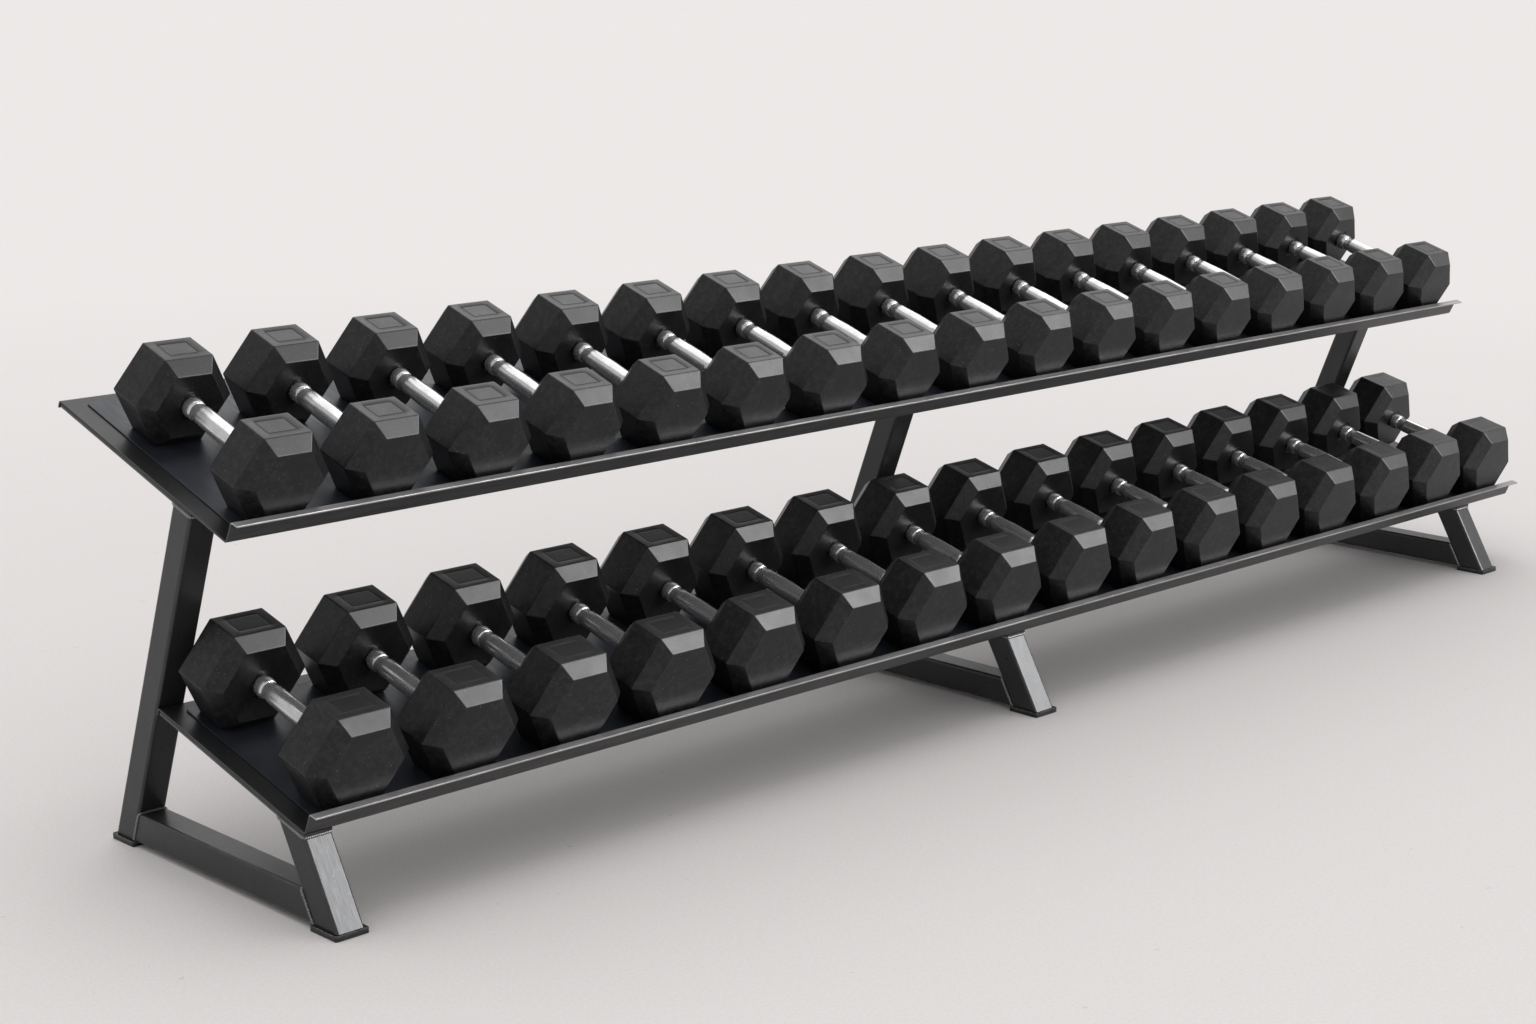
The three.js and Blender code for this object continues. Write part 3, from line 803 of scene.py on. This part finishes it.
@dataclass
class Frame:
    """One welded frame: upright, front leg, base tube, two feet and the beads that join them."""

    side: Side
    top: Tier
    low: Tier
    tube: float = 50 * MM
    upright_lean: float = math.radians(21)
    leg_lean: float = math.radians(30)
    gap: float = 0.3 * MM
    foot_height: float = 8 * MM
    x: float = field(init=False)
    base: float = field(init=False)
    upright_y: float = field(init=False)
    leg_y: float = field(init=False)

    def __post_init__(self) -> None:
        """Finds the tubes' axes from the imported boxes."""
        low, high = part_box(f"upright_{self.side.value}")
        self.x = (low.x + high.x) / 2
        self.base = low.z
        self.upright_y = high.y - self.tube / 2 / math.cos(self.upright_lean)
        self.leg_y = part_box(f"front_leg_{self.side.value}")[0].y + self.tube / 2 / math.cos(self.leg_lean)

    def _tubes(self) -> dict[str, SquareTube]:
        """The three tubes by CAD node name, without the frame's side."""
        floor = (np.array([self.x, 0.0, self.base]), np.array([0.0, 0.0, 1.0]))
        upright_way = np.array([0.0, -math.sin(self.upright_lean), math.cos(self.upright_lean)])
        leg_way = np.array([0.0, math.sin(self.leg_lean), math.cos(self.leg_lean)])
        upright_foot = np.array([self.x, self.upright_y, self.base])
        leg_foot = np.array([self.x, self.leg_y, self.base])
        front_face = np.array([0.0, -upright_way[2], upright_way[1]])
        back_face = np.array([0.0, leg_way[2], -leg_way[1]])
        reach = self.tube / 2 + self.gap
        return {
            "upright": SquareTube(upright_foot, upright_way, floor, self.top.seat()),
            "front_leg": SquareTube(leg_foot, leg_way, floor, self.low.seat()),
            "base_tube": SquareTube(
                np.array([self.x, 0.0, self.base + self.tube / 2]), np.array([0.0, 1.0, 0.0]),
                (leg_foot + back_face * reach, back_face), (upright_foot + front_face * reach, front_face)),
        }

    def build(self) -> None:
        """Makes the tubes, the beads and the feet."""
        tubes = self._tubes()
        for name, tube in tubes.items():
            node = f"{name}_{self.side.value}"
            piece = make_piece(f"{node}_tube", TUBE_PAINT.material(), *tube.surface(), looped=True)
            settle(piece, RACK, Slot.FRAME, node)
        self._welds(tubes)
        self._foot("rear_foot")
        self._foot("front_foot")

    def _welds(self, tubes: dict[str, SquareTube]) -> None:
        """Beads round both ends of the base tube and under both bearers."""
        joints = [("front", "base_tube", False), ("rear", "base_tube", True), ("top", "upright", True),
                  ("low", "front_leg", True)]
        for number, (place, name, at_end) in enumerate(joints):
            tube = tubes[name]
            plane = tube.end if at_end else tube.start
            bead = WeldBead(tube.outline(at_end, 0.3 * MM), plane[1], seed=number)
            piece = make_piece(f"weld_{place}_{self.side.value}", WELD_PAINT.material(), *bead.surface(),
                               looped=True)
            settle(piece, RACK, Slot.FRAME)

    def _foot(self, kind: str) -> None:
        """A foot: soft pad below, a groove, then the cap with its rim turned up round the tube."""
        node = f"{kind}_{self.side.value}"
        low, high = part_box(node)
        top = self.foot_height
        profile = np.array([
            (3.0, 0.0), (1.2, 0.0), (0.4, 0.3), (0.0, 1.0), (0.0, 2.6), (0.5, 3.0), (0.9, 3.2), (0.9, 3.6),
            (0.5, 3.8), (0.0, 4.2), (0.0, 8.0), (0.25, 8.9), (0.9, 9.3), (1.7, 9.0), (2.3, 8.3), (3.0, 7.9),
            (4.6, 7.8)]) * MM
        rings = stack(high.x - low.x, high.y - low.y, 4 * MM, profile)
        rings += np.array([(low.x + high.x) / 2, (low.y + high.y) / 2, 0.0])
        # Painted highlight: high on the turned-up rim, where the foot's finish tints it pale for its glossy
        # shine.
        rim = np.exp(-((profile[:, 1:] - top - 1.2 * MM) / MM) ** 2)
        wear = np.repeat(rim, rings.shape[1], axis=1)
        settle(make_piece(f"{node}_cap", FOOT_PLASTIC.material(), rings, wear), RACK, Slot.FOOT, node)


# ---------------------------------------------------------------- dumbbells


@dataclass
class DumbbellPattern:
    """The shape that all dumbbells of one row share, lying along its own second axis."""

    flats: float
    panel_depth: float
    length: float = 385 * MM
    head: float = 110 * MM
    bevel_length: float = 22 * MM
    bevel_depth: float = 21 * MM
    edge: float = 2.6 * MM
    panel: tuple[float, float] = (0.60, 0.58)
    groove: float = 1.3 * MM
    collar: float = 17.5 * MM
    neck: float = 14.5 * MM
    grip: float = 17 * MM
    root: float = 6 * MM
    grip_shares: tuple[float, float] = (0.74, 0.56)
    grip_fall: float = 0.9 * MM
    collar_share: float = 0.895
    collar_spread: float = 0.125
    held: float = 0.9 * MM

    @property
    def half(self) -> float:
        """Distance of the flats from the axis."""
        return self.flats / 2

    @property
    def side(self) -> float:
        """Half the width of one flat."""
        return self.half * HALF_CORNER

    def _profile(self) -> Array:
        """Rings along a head: distance from its inner end and distance of the flats from its axis."""
        drawn_in, far = self.half - self.bevel_depth, self.head - self.bevel_length
        corners = np.array([(0.0, 0.0), (0.0, drawn_in), (self.bevel_length, self.half),
                            (far, self.half), (self.head, drawn_in), (self.head, 0.0)])
        line = fillet(corners, self.edge, 3, False, self.held)[0][1:-1]
        reach = self.panel[1] * (self.head - 2 * self.bevel_length) / 2
        marks = self.head / 2 + np.concatenate([-self._marks(reach)[::-1], [0.0], self._marks(reach)])
        middle = np.stack([marks, np.full(len(marks), self.half)], axis=1)
        split = int(np.searchsorted(line[:, 0], self.head / 2))
        return np.concatenate([line[:split], middle, line[split:]])

    def _marks(self, reach: float) -> Array:
        """Rows set close together about the groove at a distance from the middle."""
        return reach + self.groove * np.array([-1.6, -1.0, -0.45, 0.0, 0.45, 1.0])

    def _ring(self) -> tuple[Array, Array]:
        """Outline of a hexagon whose flats lie one unit from the middle.

        Returns:
            Points on the outline, shape (n, 2), and the offset along the top flat, or nan elsewhere.
        """
        half = self.half
        marks = self._marks(self.panel[0] * self.side)
        far = self.side - self.edge * HALF_CORNER
        plain = np.array([-far, -far + self.held, far - self.held, far])
        top = np.sort(np.concatenate([plain, marks, -marks, [0.0]]))
        turns = np.radians([20.0, 40.0])
        arc = np.stack([far + self.edge * np.sin(turns), half - self.edge + self.edge * np.cos(turns)],
                       axis=1)
        outline, offsets = [], []
        for number in range(6):
            flat = top if number == 0 else plain
            local = np.concatenate([np.stack([flat, np.full(len(flat), half)], axis=1), arc])
            turn = -np.radians(60) * number
            rotation = np.array([[math.cos(turn), math.sin(turn)], [-math.sin(turn), math.cos(turn)]])
            outline.append(local @ rotation)
            offsets.append(np.concatenate([flat if number == 0 else np.full(len(flat), np.nan),
                                           np.full(len(arc), np.nan)]))
        return np.concatenate(outline) / half, np.concatenate(offsets)

    def head_surface(self, end: End) -> tuple[Array, Array]:
        """One head: the hexagon scaled by the profile, its ends closed, the panel let into the top.

        A point of the top flat sinks by depth * (0.35 inside + groove), from its signed distance to
        the panel's edge: max(|x| - width, |y| - length).

        Args:
            end: Which head, which sets the way its inner end faces.

        Returns:
            Rings of shape (k, n, 3) about the dumbbell's middle, and the wear at each point.
        """
        profile = self._profile()
        outline, offset = self._ring()
        flat = outline[None] * profile[:, 1, None, None]
        across = np.abs(offset)[None] - self.panel[0] * self.side
        reach = self.panel[1] * (self.head / 2 - self.bevel_length)
        lengthways = np.abs(profile[:, :1] - self.head / 2) - reach
        gap = np.nan_to_num(np.maximum(across, lengthways), nan=1.0)
        sunk = 0.35 * smooth_step(0.4 * self.groove, -0.8 * self.groove, gap)
        sunk = sunk + smooth_step(1.0, 0.0, np.abs(gap) / self.groove) * (gap < self.groove)
        flat = flat - np.stack([np.zeros_like(sunk), sunk * self.panel_depth], axis=2)
        along = np.repeat(profile[:, :1], flat.shape[1], axis=1)
        rings = np.stack([flat[..., 0], along, flat[..., 1]], axis=2)
        wear = self._edge_wear(profile, outline)
        unit = outline / np.linalg.norm(outline, axis=1, keepdims=True)
        boss = np.array([(26.0, 0.0), (23.0, 0.0), (22.4, 0.25), (21.8, 1.2), (21.0, 1.6), (19.0, 1.6)]) * MM
        mouth = np.stack([unit[:, 0] * boss[:, :1], np.repeat(boss[:, 1:], len(unit), axis=1),
                          unit[:, 1] * boss[:, :1]], axis=2)
        rings = np.concatenate([mouth[::-1], rings])
        wear = np.concatenate([np.zeros(mouth.shape[:2]), wear])
        rings[..., 1] = end.value * (rings[..., 1] + self.length / 2 - self.head)
        return rings, wear

    def _edge_wear(self, profile: Array, outline: Array) -> Array:
        """High on the rounded edges: near the hexagon's corners and at the two bevels."""
        corner = smooth_step(1.11, 1.145, np.linalg.norm(outline, axis=1))[None]
        drawn_in = self.half - self.bevel_depth
        from_bevel = np.minimum(np.abs(profile[:, 0] - self.bevel_length),
                                np.abs(profile[:, 0] - self.head + self.bevel_length))
        at_bevel = np.exp(-(from_bevel / (1.6 * MM)) ** 2)
        at_end = smooth_step(drawn_in - 2 * MM, drawn_in, profile[:, 1])
        at_end = at_end * smooth_step(drawn_in + 3 * MM, drawn_in, profile[:, 1])
        return np.maximum(corner, np.maximum(at_bevel, at_end)[:, None])

    def handle_surface(self) -> Array:
        """The handle turned about its axis.

        The radius is the neck's, plus a bell that swells to the grip in the middle, plus at each
        end an elliptic bulb for the collar, and it draws in again at the head.

        Returns:
            Rings of shape (k, 40, 3).
        """
        half = self.length / 2 - self.head
        y = np.unique(np.concatenate([np.linspace(0.0, 0.72 * half, 22), np.linspace(0.72 * half, half, 30),
                                      [half + 2 * MM, half + self.root - 1 * MM]]))
        y = np.concatenate([-y[:0:-1], y])
        far = np.abs(y) / half
        grip = (self.grip - self.neck) * smooth_step(*self.grip_shares, far)
        grip = np.maximum(grip - self.grip_fall * smooth_step(0.05, 0.52, far), 0.0)
        bulb = np.sqrt(np.clip(1.0 - ((far - self.collar_share) / self.collar_spread) ** 2, 0.0, 1.0))
        radius = self.neck + grip + (self.collar - self.neck) * bulb
        angle = np.linspace(0.0, 2 * np.pi, 40, endpoint=False)
        return np.stack([radius[:, None] * np.cos(angle), np.repeat(y[:, None], len(angle), axis=1),
                         radius[:, None] * np.sin(angle)], axis=2)


@dataclass
class DumbbellRow:
    """All the dumbbells that stand on one tier."""

    tier: Tier
    pattern: DumbbellPattern

    def build(self) -> None:
        """Places each dumbbell's heads and handle where its CAD node stands."""
        prefix = f"dumbbell_{self.tier.row.value}_"
        heads = {end: self.pattern.head_surface(end) for end in End}
        handle = self.pattern.handle_surface()
        for node in sorted(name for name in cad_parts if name.startswith(prefix)):
            low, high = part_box(node)
            centre = np.array(low + high) / 2
            for end, (rings, wear) in heads.items():
                piece = make_piece(f"{node}_head_{end.name.lower()}", HEAD_RUBBER.material(),
                                   self._placed(rings, centre), wear)
                settle(piece, node, Slot.DUMBBELL, node)
            piece = make_piece(f"{node}_handle", GRIP_CHROME.material(), self._placed(handle, centre))
            settle(piece, node, Slot.DUMBBELL, node)

    def _placed(self, rings: Array, centre: Array) -> Array:
        """Points of the pattern turned to the pan's slope and moved to a dumbbell's middle."""
        cos, sin = math.cos(self.tier.slope), math.sin(self.tier.slope)
        return centre + rings @ np.array([[1.0, 0.0, 0.0], [0.0, cos, sin], [0.0, -sin, cos]])


# ---------------------------------------------------------------- studio


@dataclass
class Studio:
    """Pale floor, soft lights and the camera."""

    camera_place: tuple[float, float, float] = (-3.6653, -3.3020, 1.4257)
    camera_yaw: float = math.radians(44.245)
    camera_pitch: float = math.radians(-12.69)
    focal_length: float = 60.66

    def build(self) -> None:
        """Makes everything that isn't part of the rack."""
        self._floor()
        self._sky()
        self._sun((0.25, 0.35, 0.90), math.radians(70), 1.15)
        self._panel("front_right", (2.9, -4.3, 3.0), (-0.5, 0.0, 0.4), (4.8, 2.6), 560.0)
        self._panel("rear_right", (4.3, 3.1, 4.4), (0.0, 0.0, 0.6), (5.0, 3.0), 40.0)
        self._camera()

    def _floor(self) -> None:
        """A broad floor: a disc of rings whose radius grows threefold from one to the next."""
        radius = 2.0 * 3.0 ** np.arange(7)
        angle = np.linspace(0.0, 2 * np.pi, 48, endpoint=False)
        rings = np.stack([radius[:, None] * np.cos(angle), radius[:, None] * np.sin(angle),
                          np.zeros((len(radius), len(angle)))], axis=2)
        under = rings[::-1] - np.array([0.0, 0.0, 0.01])
        make_piece("floor", PAPER_FLOOR.material(), np.concatenate([rings, under]))

    def _sky(self) -> None:
        """An even pale surround."""
        world = bpy.data.worlds.new("surround")
        world.use_nodes = True
        background = world.node_tree.nodes["Background"]
        background.inputs["Color"].default_value = (0.97, 0.965, 0.96, 1.0)
        background.inputs["Strength"].default_value = 0.72
        bpy.context.scene.world = world

    def _sun(self, way: tuple[float, float, float], angle: float, strength: float) -> None:
        """One broad soft light from far off, which leaves a deep soft shadow under the trays.

        Args:
            way: Direction towards the light.
            angle: How wide it is in the sky.
            strength: Watts on each square metre.
        """
        data = bpy.data.lights.new("overhead", "SUN")
        data.angle = angle
        data.energy = strength
        light = bpy.data.objects.new("overhead", data)
        light.rotation_euler = Vector(way).to_track_quat("Z", "Y").to_euler()
        bpy.context.scene.collection.objects.link(light)

    def _panel(self, name: str, place: tuple[float, float, float], aim: tuple[float, float, float],
               size: tuple[float, float], power: float) -> None:
        """A rectangular panel that only shows as a reflection.

        Args:
            name: What to call it.
            place: Where it hangs.
            aim: Point it faces.
            size: Its two sides.
            power: Watts.
        """
        data = bpy.data.lights.new(name, "AREA")
        data.shape = "RECTANGLE"
        data.size, data.size_y = size
        data.energy = power
        light = bpy.data.objects.new(name, data)
        light.location = place
        toward = Vector(aim) - Vector(place)
        light.rotation_euler = toward.to_track_quat("-Z", "Y").to_euler()
        light.visible_diffuse = False
        bpy.context.scene.collection.objects.link(light)

    def _camera(self) -> None:
        """The camera at the front left, looking a little down along the rack."""
        data = bpy.data.cameras.new("camera")
        data.sensor_width = 36.0
        data.lens = self.focal_length
        data.clip_end = 2000.0
        camera = bpy.data.objects.new("camera", data)
        camera.location = self.camera_place
        camera.rotation_euler = (math.pi / 2 + self.camera_pitch, 0.0, -self.camera_yaw)
        bpy.context.scene.collection.objects.link(camera)
        scene = bpy.context.scene
        scene.camera = camera
        scene.view_settings.view_transform = "Standard"


def main() -> None:
    """Builds the rack, its dumbbells and the studio."""
    logging.basicConfig(level=logging.INFO, format="%(name)s: %(message)s")
    top = Tier(Row.TOP, slope=math.radians(18), bearer_start=98 * MM)
    low = Tier(Row.LOW, slope=math.radians(15), bearer_start=2 * MM)
    for tier in (top, low):
        tier.build()
    for side in Side:
        Frame(side, top, low).build()
    DumbbellRow(top, DumbbellPattern(flats=146 * MM, panel_depth=0.9 * MM)).build()
    DumbbellRow(low, DumbbellPattern(flats=162 * MM, panel_depth=0.35 * MM)).build()
    Studio().build()


if __name__ == "__main__":
    main()
